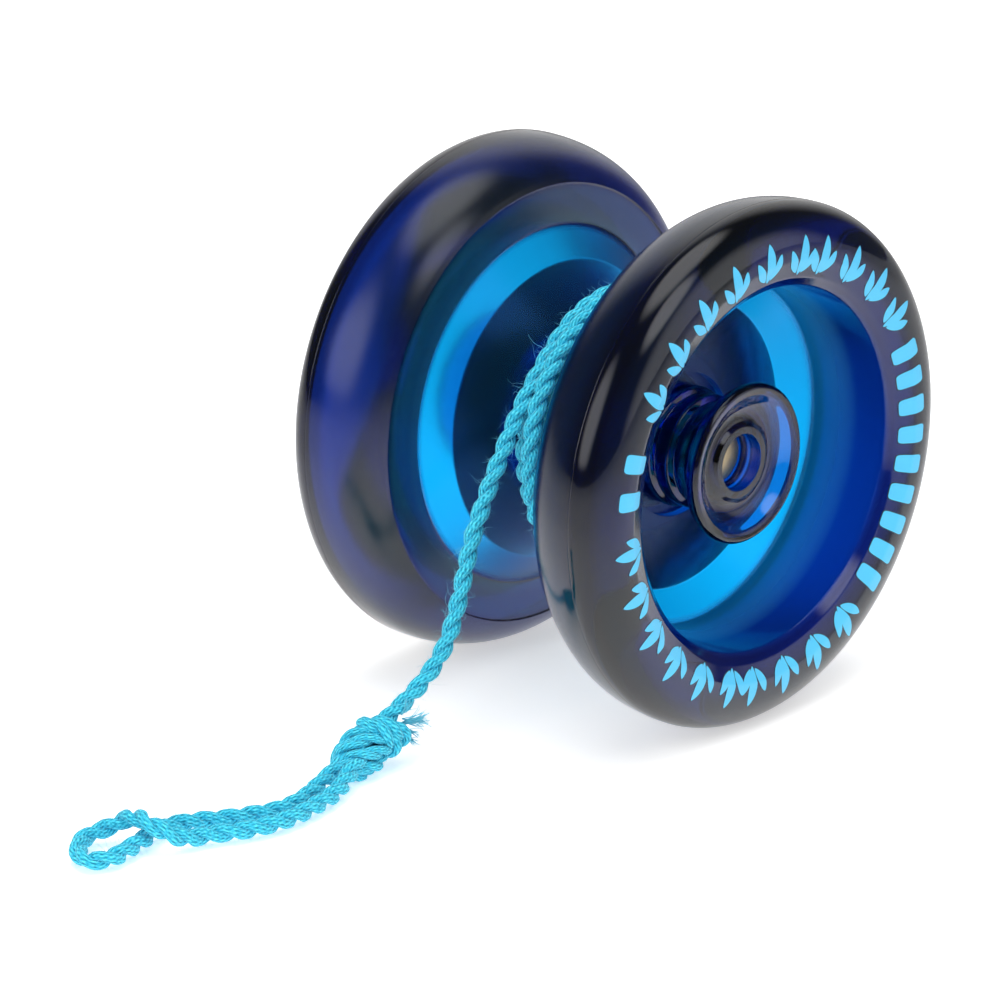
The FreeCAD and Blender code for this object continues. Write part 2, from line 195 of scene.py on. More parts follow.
# ------------------------------------------------------------------ materials
def new_material(name, **values):
    """Material with one Principled shader whose plain sockets are set from values."""
    material = bpy.data.materials.new(name)
    material.use_nodes = True
    shader = material.node_tree.nodes["Principled BSDF"]
    for socket, value in values.items():
        shader.inputs[socket.replace("_", " ")].default_value = value
    return material, shader, material.node_tree


def noise(tree, scale, detail=4.0, vector=None):
    node = tree.nodes.new("ShaderNodeTexNoise")
    node.inputs["Scale"].default_value = scale
    node.inputs["Detail"].default_value = detail
    if vector is not None:
        tree.links.new(vector, node.inputs["Vector"])
    return node


def ramp_between(tree, factor, stops):
    """Colour ramp fed by factor; stops are (position, (r, g, b))."""
    node = tree.nodes.new("ShaderNodeValToRGB")
    elements = node.color_ramp.elements
    while len(elements) < len(stops):
        elements.new(0.5)
    for element, (position, colour) in zip(elements, stops):
        element.position = position
        element.color = (*colour, 1)
    tree.links.new(factor, node.inputs["Fac"])
    return node


def maths(tree, operation, first, second=None):
    """Output of one Math node; first and second are numbers or sockets."""
    node = tree.nodes.new("ShaderNodeMath")
    node.operation = operation
    for socket, value in zip(node.inputs, (first, second)):
        if value is None:
            continue
        if isinstance(value, (int, float)):
            socket.default_value = value
        else:
            tree.links.new(value, socket)
    return node.outputs[0]


def mixed(tree, factor, first, second):
    """Colour socket that goes from first to second as factor goes from 0 to 1."""
    node = tree.nodes.new("ShaderNodeMix")
    node.data_type = "RGBA"
    colours = [socket for socket in node.inputs if socket.type == "RGBA"]
    tree.links.new(factor, node.inputs["Factor"])
    for socket, value in zip(colours, (first, second)):
        if isinstance(value, tuple):
            socket.default_value = (*value, 1)
        else:
            tree.links.new(value, socket)
    return next(socket for socket in node.outputs if socket.type == "RGBA")


def spin_coordinates(tree):
    """Sockets for the distance from the spin axis and from the mid-plane, in metres, and their node."""
    place = tree.nodes.new("ShaderNodeTexCoord")
    parts = tree.nodes.new("ShaderNodeSeparateXYZ")
    tree.links.new(place.outputs["Object"], parts.inputs[0])
    height = maths(tree, "SUBTRACT", parts.outputs["Z"], AXLE_Z)
    squares = maths(tree, "ADD",
                    maths(tree, "MULTIPLY", parts.outputs["X"], parts.outputs["X"]),
                    maths(tree, "MULTIPLY", height, height))
    return maths(tree, "SQRT", squares), maths(tree, "ABSOLUTE", parts.outputs["Y"]), place


def scaled(tree, value, low, high):
    """value mapped so that low gives 0 and high gives 1."""
    node = tree.nodes.new("ShaderNodeMapRange")
    node.inputs["From Min"].default_value = low
    node.inputs["From Max"].default_value = high
    tree.links.new(value, node.inputs["Value"])
    return node.outputs["Result"]


def faded(tree, value, low, high):
    """value mapped so that low gives 1 and high gives 0."""
    return maths(tree, "SUBTRACT", 1.0, scaled(tree, value, low, high))


def bump(tree, shader, height, strength, distance):
    node = tree.nodes.new("ShaderNodeBump")
    node.inputs["Strength"].default_value = strength
    node.inputs["Distance"].default_value = distance
    tree.links.new(height, node.inputs["Height"])
    tree.links.new(node.outputs["Normal"], shader.inputs["Normal"])


def two_tone(tree, shader, factor, first, second):
    """Gives the shader two tones that factor mixes."""
    colour = ramp_between(tree, factor, [(0.3, first), (0.7, second)])
    tree.links.new(colour.outputs["Color"], shader.inputs["Base Color"])


def turned_lines(tree, radius, depth, fineness):
    """Height of fine rings that the turning tool left, from the two section distances."""
    rings = tree.nodes.new("ShaderNodeCombineXYZ")
    tree.links.new(radius, rings.inputs["X"])
    tree.links.new(depth, rings.inputs["Y"])
    return noise(tree, fineness, 3.0, rings.outputs[0]).outputs["Fac"]


def add_absorption(tree, colour, density):
    node = tree.nodes.new("ShaderNodeVolumeAbsorption")
    node.inputs["Color"].default_value = (*colour, 1)
    node.inputs["Density"].default_value = density
    tree.links.new(node.outputs[0], tree.nodes["Material Output"].inputs["Volume"])


def moulding_material():
    """Clear dark-blue plastic: azure where the wall is thin, nearly opaque navy in the rim."""
    material, shader, tree = new_material(
        "blue_moulding", Roughness=0.05, IOR=PLASTIC_IOR, Transmission_Weight=CLEARNESS)
    radius, depth, place = spin_coordinates(tree)

    # Colour: azure that deepens outwards, navy in the rim, lighter along the crest of the side face.
    inner = ramp_between(tree, scaled(tree, radius, 18 * MM, 22 * MM), [
        (0.20, (0.10, 0.64, 1.00)),
        (0.72, (0.03, 0.24, 0.52)),
    ])
    rim = maths(tree, "MULTIPLY", scaled(tree, radius, 19.3 * MM, 19.9 * MM),
                scaled(tree, depth, 16.0 * MM, 18.5 * MM))
    colour = mixed(tree, rim, inner.outputs["Color"], (0.012, 0.045, 0.105))
    crest = scaled(tree, depth, 20.2 * MM, 21.2 * MM)
    colour = mixed(tree, crest, colour, (0.020, 0.130, 0.300))

    # Haze on the cup's wall and, fainter, on the shelf round the gap-side cone.
    wall = maths(tree, "MULTIPLY", scaled(tree, depth, 11.0 * MM, 11.6 * MM),
                 faded(tree, radius, 19.2 * MM, 19.4 * MM))
    haze = maths(tree, "MULTIPLY", wall,
                 faded(tree, depth, 12.0 * MM, 17.0 * MM))
    shelf = maths(tree, "MULTIPLY", scaled(tree, radius, 19.4 * MM, 19.6 * MM),
                  faded(tree, depth, 10.8 * MM, 11.4 * MM))
    shelf = maths(tree, "MULTIPLY", shelf,
                  faded(tree, radius, 23.0 * MM, 23.7 * MM))
    haze = maths(tree, "MAXIMUM", haze, maths(tree, "MULTIPLY", shelf, 0.20))
    clear = maths(tree, "SUBTRACT", CLEARNESS, maths(tree, "MULTIPLY", haze, 0.62))
    tree.links.new(clear, shader.inputs["Transmission Weight"])
    tree.links.new(mixed(tree, haze, colour, (0.01, 0.42, 1.00)), shader.inputs["Base Color"])

    # Polish: the machined inside is duller than the rim, and the whole is faintly smeared.
    machined = maths(tree, "MAXIMUM",
                     faded(tree, depth, 15.0 * MM, 18.0 * MM),
                     faded(tree, radius, 18.6 * MM, 19.1 * MM))
    smears = noise(tree, 260, 3.0, place.outputs["Object"])
    polish = maths(tree, "ADD", maths(tree, "MULTIPLY", machined, 0.15),
                   maths(tree, "MULTIPLY", smears.outputs["Fac"], 0.10))
    tree.links.new(maths(tree, "ADD", polish, 0.03), shader.inputs["Roughness"])
    inside = faded(tree, radius, 19.2 * MM, 19.4 * MM)
    glare = mixed(tree, inside, (1.0, 1.0, 1.0), (0.06, 0.28, 0.90))
    tree.links.new(glare, shader.inputs["Specular Tint"])
    lines = maths(tree, "MULTIPLY", turned_lines(tree, radius, depth, 2600), machined)
    bump(tree, shader, lines, 0.10, 0.02 * MM)
    add_absorption(tree, (0.04, 0.860, 0.950), 2400)
    return material


def post_material():
    """The same plastic, polished all over, with a brighter tint in the disc on its top that paints a glow
    of light through it.
    """
    material, shader, tree = new_material(
        "navy_moulding", Roughness=0.04, IOR=PLASTIC_IOR, Transmission_Weight=1.0)
    radius, depth, _ = spin_coordinates(tree)
    colour = ramp_between(tree, noise(tree, 40).outputs["Fac"], [
        (0.3, (0.16, 0.46, 0.78)),
        (0.7, (0.20, 0.54, 0.86)),
    ])
    # The disc on top is tinted brighter than the stem: a painted glow, not a different plastic.
    disc = scaled(tree, depth, 15.0 * MM, 15.6 * MM)
    tint = mixed(tree, disc, colour.outputs["Color"], (0.30, 0.85, 1.00))
    tree.links.new(tint, shader.inputs["Base Color"])
    bump(tree, shader, turned_lines(tree, radius, depth, 5000), 0.05, 0.02 * MM)
    add_absorption(tree, (0.05, 0.80, 0.93), 2000)
    return material


def brass_material():
    """Turned brass that has dulled in patches."""
    material, shader, tree = new_material("brass", Metallic=1.0, Roughness=0.3)
    patches = noise(tree, 900, 6.0)
    colour = ramp_between(tree, patches.outputs["Fac"], [
        (0.32, (0.42, 0.33, 0.17)),
        (0.50, (0.72, 0.58, 0.34)),
        (0.68, (0.84, 0.71, 0.46)),
    ])
    tree.links.new(colour.outputs["Color"], shader.inputs["Base Color"])
    rough = ramp_between(tree, patches.outputs["Fac"], [
        (0.3, (0.5, 0.5, 0.5)),
        (0.7, (0.25, 0.25, 0.25)),
    ])
    tree.links.new(rough.outputs["Color"], shader.inputs["Roughness"])
    bump(tree, shader, patches.outputs["Fac"], 0.3, 0.05 * MM)
    return material


def metal_material(name, colour, roughness, fineness=6000):
    """Turned metal with fine rings."""
    material, shader, tree = new_material(name, Metallic=1.0, Roughness=roughness)
    radius, depth, _ = spin_coordinates(tree)
    rings = turned_lines(tree, radius, depth, fineness)
    darker = tuple(0.8 * value for value in colour)
    two_tone(tree, shader, rings, darker, colour)
    bump(tree, shader, rings, 0.2, 0.02 * MM)
    return material


def silicone_material():
    material, shader, tree = new_material("silicone", Roughness=0.6, Subsurface_Weight=0.2)
    shader.inputs["Subsurface Scale"].default_value = 1 * MM
    dust = noise(tree, 1500, 5.0)
    two_tone(tree, shader, dust.outputs["Fac"], (0.70, 0.70, 0.68), (0.82, 0.82, 0.80))
    bump(tree, shader, dust.outputs["Fac"], 0.2, 0.03 * MM)
    return material


def plain_material(name, fineness, first, second, **values):
    """Material in two tones that a fine noise mixes."""
    material, shader, tree = new_material(name, **values)
    two_tone(tree, shader, noise(tree, fineness).outputs["Fac"], first, second)
    return material


def cage_material():
    return plain_material("cage_plastic", 2000, (0.42, 0.28, 0.15), (0.52, 0.37, 0.21), Roughness=0.5)


def ink_material():
    """Slightly raised screen print."""
    material, shader, tree = new_material("print_ink", Roughness=0.35)
    patches = noise(tree, 400, 3.0)
    two_tone(tree, shader, patches.outputs["Fac"], (0.060, 0.52, 0.86), (0.085, 0.60, 0.94))
    bump(tree, shader, patches.outputs["Fac"], 0.1, 0.01 * MM)
    return material


def print_shadow_material():
    """Dark painted shadow that shows round each mark of the print against the clear face."""
    return plain_material("print_shadow_paint", 500, (0.004, 0.020, 0.045), (0.008, 0.035, 0.07),
                          Roughness=0.3)


def string_material():
    """Twisted cotton: fine yarns slant across each ply, broken into grains by their own twist; its colour
    paints shade in the grooves and highlights on the crests.
    """
    material, shader, tree = new_material(
        "string", Roughness=0.9, Sheen_Weight=0.3, Sheen_Roughness=0.5)
    shader.inputs["Sheen Tint"].default_value = (0.55, 0.95, 1.0, 1)
    lay = tree.nodes.new("ShaderNodeUVMap")
    lay.uv_map = "lay"
    parts = tree.nodes.new("ShaderNodeSeparateXYZ")
    tree.links.new(lay.outputs["UV"], parts.inputs[0])
    stretch = tree.nodes.new("ShaderNodeMapping")
    stretch.inputs["Scale"].default_value = (22.0, 2.6, 1.0)
    tree.links.new(lay.outputs["UV"], stretch.inputs["Vector"])
    fibres = noise(tree, 1.0, 5.0, stretch.outputs["Vector"]).outputs["Fac"]
    across = maths(tree, "MULTIPLY", parts.outputs["X"], YARNS * 2 * math.pi)
    along = maths(tree, "MULTIPLY", parts.outputs["Y"], GRAINS_PER_MM * 2 * math.pi)
    slant = maths(tree, "ADD", across, along)
    yarns = maths(tree, "MULTIPLY", maths(tree, "COSINE", across), 0.10)
    grains = maths(tree, "MULTIPLY", maths(tree, "COSINE", slant), 0.09)
    height = maths(tree, "ADD", maths(tree, "ADD", yarns, grains), fibres)
    # The colour follows the same height: painted shade in the grooves between yarns and grains, a painted
    # highlight on their crests, over the fibres' random tone.
    colour = ramp_between(tree, height, [
        (0.26, (0.004, 0.200, 0.320)),
        (0.48, (0.020, 0.500, 0.740)),
        (0.74, (0.130, 0.860, 1.000)),
    ])
    tree.links.new(colour.outputs["Color"], shader.inputs["Base Color"])
    bump(tree, shader, height, 0.8, 0.10 * MM)
    return material


def fuzz_material():
    return plain_material("string_fuzz", 700, (0.06, 0.48, 0.66), (0.20, 0.72, 0.90),
                          Roughness=0.8, Sheen_Weight=0.3)


def floor_material():
    """White paper that the camera sees evenly lit; mirrored in the plastic it dims with distance."""
    material, shader, tree = new_material("paper", Roughness=0.9, Specular_IOR_Level=0.2)
    place = tree.nodes.new("ShaderNodeTexCoord")
    away = tree.nodes.new("ShaderNodeVectorMath")
    away.operation = "LENGTH"
    tree.links.new(place.outputs["Object"], away.inputs[0])
    fade = scaled(tree, away.outputs["Value"], 0.08, 0.45)
    grain = noise(tree, 3.0)
    paper = ramp_between(tree, grain.outputs["Fac"], [
        (0.3, (0.92, 0.92, 0.92)),
        (0.7, (0.94, 0.94, 0.94)),
    ])
    tone = mixed(tree, fade, paper.outputs["Color"], (0.42, 0.42, 0.42))
    tree.links.new(tone, shader.inputs["Base Color"])
    rays = tree.nodes.new("ShaderNodeLightPath")
    shader.inputs["Emission Color"].default_value = (1, 1, 1, 1)
    near = faded(tree, away.outputs["Value"], 0.03, 0.12)
    mirrored = rays.outputs["Is Glossy Ray"]
    seen = maths(tree, "MULTIPLY", fade, rays.outputs["Is Camera Ray"])
    seen = maths(tree, "ADD", seen, 0.50)
    seen = maths(tree, "MULTIPLY", seen, maths(tree, "SUBTRACT", 1.0, mirrored))
    near = maths(tree, "MULTIPLY", maths(tree, "MULTIPLY", near, 0.60), mirrored)
    tree.links.new(maths(tree, "ADD", seen, near), shader.inputs["Emission Strength"])
    return material


# ------------------------------------------------------------------ mesh helpers
def mesh_object(name, vertices, faces, material, smooth=True):
    mesh = bpy.data.meshes.new(name)
    mesh.from_pydata([tuple(v) for v in vertices], [], faces)
    mesh.validate()
    mesh.materials.append(material)
    obj = bpy.data.objects.new(name, mesh)
    bpy.context.scene.collection.objects.link(obj)
    if smooth:
        mesh.polygons.foreach_set("use_smooth", [True] * len(mesh.polygons))
    return obj


def outward(obj):
    """Turns the faces of a closed mesh outwards."""
    shape = bmesh.new()
    shape.from_mesh(obj.data)
    bmesh.ops.recalc_face_normals(shape, faces=shape.faces)
    shape.to_mesh(obj.data)
    shape.free()
    return obj


def meridian(node):
    """Section outline of a turned CAD node: (radius, y) points in order, matched to the micron."""
    mesh = NODES[node].data
    side = -1 if node.startswith("front_") else 1
    keys = {}
    for vertex in mesh.vertices:
        x, y, z = vertex.co
        if abs(z - AXLE_Z) < 2e-6 and x * side > -2e-6:
            keys[vertex.index] = (round(abs(x) * 1e6), round(y * 1e6))
    links = {key: set() for key in keys.values()}
    for edge in mesh.edges:
        first, second = (keys.get(index) for index in edge.vertices)
        if first is not None and second is not None and first != second:
            links[first].add(second)
            links[second].add(first)
    left = set(links)
    here = min(left, key=lambda key: (len(links[key]), key))
    outline = [here]
    left.remove(here)
    while left:
        onward = [key for key in links[here] if key in left]
        pool = onward or list(left)
        sideways = 0 if onward else 0.01
        here = min(pool, key=lambda key: abs(key[1] - here[1]) + sideways * abs(key[0] - here[0]))
        outline.append(here)
        left.remove(here)
    return [Vector((r * 1e-6, y * 1e-6)) for r, y in outline]


def turn_at(before, here, after):
    """Angle by which an outline turns at a point."""
    first, second = here - before, after - here
    if first.length < 1e-9 or second.length < 1e-9:
        return 0.0
    return first.angle(second)


def softened(outline, softening):
    """The outline with each sharp corner cut back into a small round."""
    result = []
    count = len(outline)
    for index, here in enumerate(outline):
        before, after = outline[index - 1], outline[(index + 1) % count]
        if here.x < ON_AXIS or turn_at(before, here, after) < SHARP_TURN:
            result.append(here)
            continue
        reach = min(softening, 0.35 * (before - here).length, 0.35 * (after - here).length)
        start = here + (before - here).normalized() * reach
        end = here + (after - here).normalized() * reach
        for step in range(5):
            share = step / 4
            result.append(start * (1 - share) ** 2 + here * 2 * share * (1 - share) + end * share ** 2)
    return result


def refined(outline):
    """Curved stretches are subdivided smoothly, and long straight ones get edge loops."""
    count = len(outline)
    result = []
    for index, here in enumerate(outline):
        before, after = outline[index - 1], outline[(index + 1) % count]
        beyond = outline[(index + 2) % count]
        result.append(here)
        length = (after - here).length
        turns = (turn_at(before, here, after), turn_at(here, after, beyond))
        curved = max(turns) < SHARP_TURN and min(turns) > math.radians(0.4)
        even = length < 3 * (here - before).length and length < 3 * (beyond - after).length
        if curved and even and length > CURVE_STEP:
            pieces = max(2, min(6, int(length / CURVE_STEP)))
            for step in range(1, pieces):
                share = step / pieces
                result.append(0.5 * (2 * here + (after - before) * share
                                     + (2 * before - 5 * here + 4 * after - beyond) * share ** 2
                                     + (3 * here - before - 3 * after + beyond) * share ** 3))
        elif length > LONG_STRETCH:
            margin = EDGE_MARGIN / length
            result.extend([here.lerp(after, margin), here.lerp(after, 1 - margin)])
    return result


def inset(outline, distance):
    """The outline moved inwards by distance."""
    area = sum(a.x * b.y - b.x * a.y for a, b in zip(outline, outline[1:] + outline[:1]))
    side = 1 if area > 0 else -1
    result = []
    for index, here in enumerate(outline):
        before, after = outline[index - 1], outline[(index + 1) % len(outline)]
        along = after - before
        if here.x < ON_AXIS or along.length < 1e-9:
            result.append(here)
            continue
        along.normalize()
        result.append(here + Vector((-along.y, along.x)) * distance * side)
    return result


def lathe(name, outline, material, segments=LATHE_SEGMENTS):
    """Closed turned mesh from a section outline, round the spin axis."""
    vertices, faces, rings = [], [], []
    for radius, y in outline:
        if radius < ON_AXIS:
            rings.append([len(vertices)] * segments)
            vertices.append((0, y, AXLE_Z))
            continue
        rings.append(list(range(len(vertices), len(vertices) + segments)))
        for step in range(segments):
            angle = 2 * math.pi * step / segments
            vertices.append((radius * math.cos(angle), y, AXLE_Z + radius * math.sin(angle)))
    for ring, following in zip(rings, rings[1:] + rings[:1]):
        if ring[0] == ring[1] and following[0] == following[1]:
            continue
        for step in range(segments):
            onward = (step + 1) % segments
            corners = [ring[step], ring[onward], following[onward], following[step]]
            faces.append(list(dict.fromkeys(corners)))
    return outward(mesh_object(name, vertices, faces, material))


def with_parting_line(outline):
    """The outline with the mould's fine groove at its greatest radius."""
    widest = max(range(len(outline)), key=lambda index: outline[index].x)
    before, here, after = outline[widest - 1], outline[widest], outline[(widest + 1) % len(outline)]
    groove = [here.lerp(before, PARTING_HALF_WIDTH / (before - here).length),
              here - Vector((PARTING_DEPTH, 0)),
              here.lerp(after, PARTING_HALF_WIDTH / (after - here).length)]
    return outline[:widest] + groove + outline[widest + 1:]


def smooth_outline(node, gap=0.0):
    """A CAD node's section outline, finely divided and with softened edges."""
    outline = meridian(node)
    if gap:
        outline = inset(outline, gap)
    return refined(softened(outline, EDGE_SOFTENING))


def turned_piece(node, name, body, material, outline):
    """Turns a CAD node's section again, in its place."""
    piece = lathe(name, outline, material)
    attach(piece, body)
    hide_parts(node)
    return piece


# ------------------------------------------------------------------ string
# In millimetres: free string from the winding to the knot, then finger loop out, round its eye and back.
FREE_ROUTE = [
    (-12.2, 0.2, 36.0),
    (-14.3, 0.2, 33.6),
    (-17.5, 0.2, 28.9),
    (-20.9, 0.2, 23.2),
    (-22.6, 0.2, 19.0),
    (-23.8, 0.2, 14.6),
    (-26.2, 0.2, 9.6),
    (-30.6, 0.3, 6.5),
    (-36.0, 0.5, 4.2),
]
LOOP_ROUTE = [
    (-38.4, 0.9, 2.4),
    (-41.5, 0.6, 1.7),
    (-45.3, -0.5, 1.15),
    (-48.9, -1.6, 1.05),
    (-52.0, -1.7, 1.05),
    (-54.4, -0.7, 1.05),
    (-57.2, 0.8, 1.05),
    (-60.2, 2.9, 1.05),
    (-63.1, 4.0, 1.05),
    (-66.2, 3.0, 1.05),
    (-69.2, 2.4, 1.05),
    (-71.3, 1.9, 1.05),
    (-73.1, 2.4, 1.05),
    (-73.5, 4.4, 1.05),
    (-72.1, 6.3, 1.05),
    (-70.3, 7.5, 1.05),
    (-68.1, 7.4, 1.2),
    (-66.6, 6.1, 2.1),
    (-66.2, 4.3, 3.2),
    (-66.6, 1.8, 3.2),
    (-65.3, 0.2, 2.0),
    (-63.3, -0.3, 1.1),
    (-61.2, -0.8, 1.05),
    (-59.1, -2.1, 1.05),
    (-56.9, -3.1, 1.05),
    (-54.6, -3.8, 1.05),
    (-51.9, -3.9, 1.05),
    (-48.3, -3.5, 1.05),
    (-45.0, -2.8, 1.1),
    (-42.0, -1.4, 1.5),
    (-38.6, -0.2, 2.6),
]
# Turns of the winding from the bearing out: centreline radius and y, in millimetres.
WINDING_TURNS = [
    (7.40, -1.05), (7.40, 1.05),
    (9.30, 1.05), (9.30, -1.05),
    (11.20, -1.10), (11.20, 1.10),
    (13.10, 1.10), (13.10, -0.90),
    (13.70, -2.90),
    (15.55, -1.80),
    (14.75, 0.20),
]
TURN_POINTS = 16
CROSSING_ANGLE = math.radians(300)   # each turn has moved over to its place by this angle
CROSSING_SHARE = 0.28                # share of the turn before it that the move takes


def winding_route():
    """Points of the wound turns from the bearing out, ending where the free string starts."""
    leave = math.atan2(FREE_ROUTE[0][2] * MM - AXLE_Z, FREE_ROUTE[0][0] * MM) + 2 * math.pi
    swept = 2 * math.pi * (len(WINDING_TURNS) - 1) + leave - CROSSING_ANGLE
    spread = (1 + 1 / math.cos(math.pi / TURN_POINTS)) / 2   # the curve cuts inside its points
    points = []
    for step in range(int(swept / (2 * math.pi) * TURN_POINTS)):
        turned = 2 * math.pi * step / TURN_POINTS
        turn = int(turned / (2 * math.pi) + 1e-9)
        share = turned / (2 * math.pi) - turn
        radius, y = WINDING_TURNS[turn]
        blend = max(0.0, (share - 1 + CROSSING_SHARE) / CROSSING_SHARE)
        blend = blend * blend * (3 - 2 * blend)
        if turn + 1 < len(WINDING_TURNS):
            radius += (WINDING_TURNS[turn + 1][0] - radius) * blend
            y += (WINDING_TURNS[turn + 1][1] - y) * blend
        angle = CROSSING_ANGLE + turned
        points.append((radius * spread * MM * math.cos(angle), y * MM,
                       AXLE_Z + radius * spread * MM * math.sin(angle)))
    return points


def smooth_line(points, steps):
    """Points along the smooth curve that a route's points steer."""
    curve = bpy.data.curves.new("route", "CURVE")
    curve.dimensions = "3D"
    spline = curve.splines.new("NURBS")
    spline.points.add(len(points) - 1)
    for point, place in zip(spline.points, points):
        point.co = (*place, 1)
    spline.order_u = 3
    spline.use_endpoint_u = True
    spline.resolution_u = steps
    curve.resolution_u = steps
    route = bpy.data.objects.new("route", curve)
    mesh = bpy.data.meshes.new_from_object(route)
    line = np.array([v.co for v in mesh.vertices])
    bpy.data.objects.remove(route)
    bpy.data.curves.remove(curve)
    bpy.data.meshes.remove(mesh)
    return line


def evenly(line, spacing):
    """Points spaced evenly along a line, and how far along it each one is."""
    along = np.concatenate([[0], np.cumsum(np.linalg.norm(np.diff(line, axis=0), axis=1))])
    at = np.linspace(0, along[-1], max(2, int(along[-1] / spacing)))
    return np.stack([np.interp(at, along, line[:, k]) for k in range(3)], axis=1), at


def frames_along(line):
    """Two unit vectors across the line at each point, which don't twist about it."""
    tangents = np.gradient(line, axis=0)
    tangents /= np.linalg.norm(tangents, axis=1)[:, None]
    across = np.cross(tangents[0], (0, 1, 0.01))
    across /= np.linalg.norm(across)
    firsts, seconds = [], []
    for tangent in tangents:
        across = across - tangent * across.dot(tangent)
        across /= np.linalg.norm(across)
        firsts.append(across)
        seconds.append(np.cross(tangent, across))
    return np.array(firsts), np.array(seconds)


def twisted_cord(name, line, at, material, diameter=STRING_DIAMETER, plies=2, sides=18, pitch=TWIST_PITCH):
    """Mesh of plies laid round a line, with coordinates round and along each ply for its yarns."""
    first, second = frames_along(line)
    ply_radius = diameter * PLY_SHARE
    offset = diameter / 2 - ply_radius
    vertices, faces, lays = [], [], []
    for ply in range(plies):
        twist = 2 * math.pi * (at / pitch + ply / plies)
        to_ply = first * np.cos(twist)[:, None] + second * np.sin(twist)[:, None]
        aside = -first * np.sin(twist)[:, None] + second * np.cos(twist)[:, None]
        middle = line + to_ply * offset
        base = len(vertices)
        for index in range(len(line)):
            # Spun cotton is a little uneven along its length.
            swell = 1 + 0.05 * math.sin(0.9 * index + 2.4 * ply) * math.sin(0.37 * index)
            for side in range(sides):
                angle = 2 * math.pi * side / sides
                spread = ply_radius * swell * (to_ply[index] * math.cos(angle) * PLY_SQUASH[0]
                                               + aside[index] * math.sin(angle) * PLY_SQUASH[1])
                vertices.append(middle[index] + spread)
        for index in range(len(line) - 1):
            for side in range(sides):
                onward = (side + 1) % sides
                faces.append((base + index * sides + side, base + index * sides + onward,
                              base + (index + 1) * sides + onward, base + (index + 1) * sides + side))
                near, far = at[index] / MM, at[index + 1] / MM
                lean_near = YARN_TWIST * at[index] / pitch
                lean_far = YARN_TWIST * at[index + 1] / pitch
                low, high = side / sides, (side + 1) / sides
                lays.extend([(low + lean_near, near), (high + lean_near, near),
                             (high + lean_far, far), (low + lean_far, far)])
        for end in (0, len(line) - 1):
            ring = [base + end * sides + side for side in range(sides)]
            faces.append(ring if end else ring[::-1])
            lays.extend([(0.5, at[end] / MM)] * sides)
    mesh = bpy.data.meshes.new(name)
    mesh.from_pydata([tuple(v) for v in vertices], [], faces)
    layer = mesh.uv_layers.new(name="lay")
    layer.data.foreach_set("uv", [value for uv in lays for value in uv])
    mesh.polygons.foreach_set("use_smooth", [True] * len(mesh.polygons))
    mesh.materials.append(material)
    obj = bpy.data.objects.new(name, mesh)
    bpy.context.scene.collection.objects.link(obj)
    return outward(obj)


def hair(start, direction, length, radius, luck, curl=0.9, steps=7):
    """Points and radii of one loose fibre that curls as it goes."""
    points = [Vector(start)]
    heading = Vector(direction).normalized()
    bend = Vector((luck.gauss(0, 1), luck.gauss(0, 1), luck.gauss(0, 1))).normalized()
    for _ in range(steps):
        heading = (heading + bend * curl * luck.uniform(0.1, 0.6)).normalized()
        if luck.random() < 0.25:
            bend = Vector((luck.gauss(0, 1), luck.gauss(0, 1), luck.gauss(0, 1))).normalized()
        place = points[-1] + heading * length / steps
        place.z = max(place.z, radius)
        points.append(place)
    return points, [radius * (1 - 0.6 * k / steps) for k in range(steps + 1)]


def fibre_mesh(name, hairs, material):
    """One mesh of thin fibres, each closed at both ends."""
    vertices, faces = [], []
    for points, radii in hairs:
        line = np.array([tuple(p) for p in points])
        first, second = frames_along(line)
        base = len(vertices)
        for place, a, b, radius in zip(line, first, second, radii):
            for side in range(FIBRE_SIDES):
                angle = 2 * math.pi * side / FIBRE_SIDES
                vertices.append(place + radius * (a * math.cos(angle) + b * math.sin(angle)))
        for ring in range(len(line) - 1):
            near = base + ring * FIBRE_SIDES
            far = near + FIBRE_SIDES
            for side in range(FIBRE_SIDES):
                onward = (side + 1) % FIBRE_SIDES
                faces.append((near + side, near + onward, far + onward, far + side))
        last = base + (len(line) - 1) * FIBRE_SIDES
        faces.append(tuple(base + side for side in reversed(range(FIBRE_SIDES))))
        faces.append(tuple(last + side for side in range(FIBRE_SIDES)))
    return mesh_object(name, vertices, faces, material)


def make_fuzz(line, at, material):
    """Loose fibres on the loop, the free string and the last turn of the winding."""
    luck = random.Random(7)
    first, second = frames_along(line)
    hairs = []
    for _ in range(FUZZ_HAIRS):
        place = luck.uniform(at[-1] - FUZZ_REACH, at[-1])
        index = min(len(line) - 1, int(place / at[-1] * len(line)))
        angle = luck.uniform(0, 2 * math.pi)
        outwards = first[index] * math.cos(angle) + second[index] * math.sin(angle)
        along = line[min(index + 3, len(line) - 1)] - line[max(index - 3, 0)]
        along /= np.linalg.norm(along) + 1e-12
        start = line[index] + outwards * STRING_DIAMETER * 0.43
        lean = outwards + along * luck.uniform(-0.9, 0.9)
        length = luck.uniform(0.5, 1.4) * MM if luck.random() < 0.93 else luck.uniform(1.4, 2.6) * MM
        hairs.append(hair(start, lean, length, luck.uniform(0.010, 0.020) * MM, luck, 1.3))
    return fibre_mesh("string_fuzz", hairs, material)


# The knot, in millimetres along its axis from its middle and out from the axis. A ring has its place,
# radius and lean; the strands have their ends, and their radii at the start, half way and at the end.
KNOT_RINGS = [(-1.7, 1.75, 1.0), (-0.7, 1.85, 0.35)]
KNOT_RING_DIAMETER = 1.9
KNOT_LEAN_ANGLE = math.radians(49)
KNOT_STRANDS = 7
KNOT_STRAND_ENDS = (-0.6, 5.2)
KNOT_STRAND_RADII = (1.35, 1.95, 0.6)
KNOT_STRAND_TURNS = -0.30
KNOT_STRAND_DIAMETER = 1.5
KNOT_FIRST_ANGLE = 155          # of the first strand, in degrees
KNOT_STEP = 0.2 * MM            # between the rings of its mesh
KNOT_LOWEST = 0.02 * MM         # no part of it lies lower


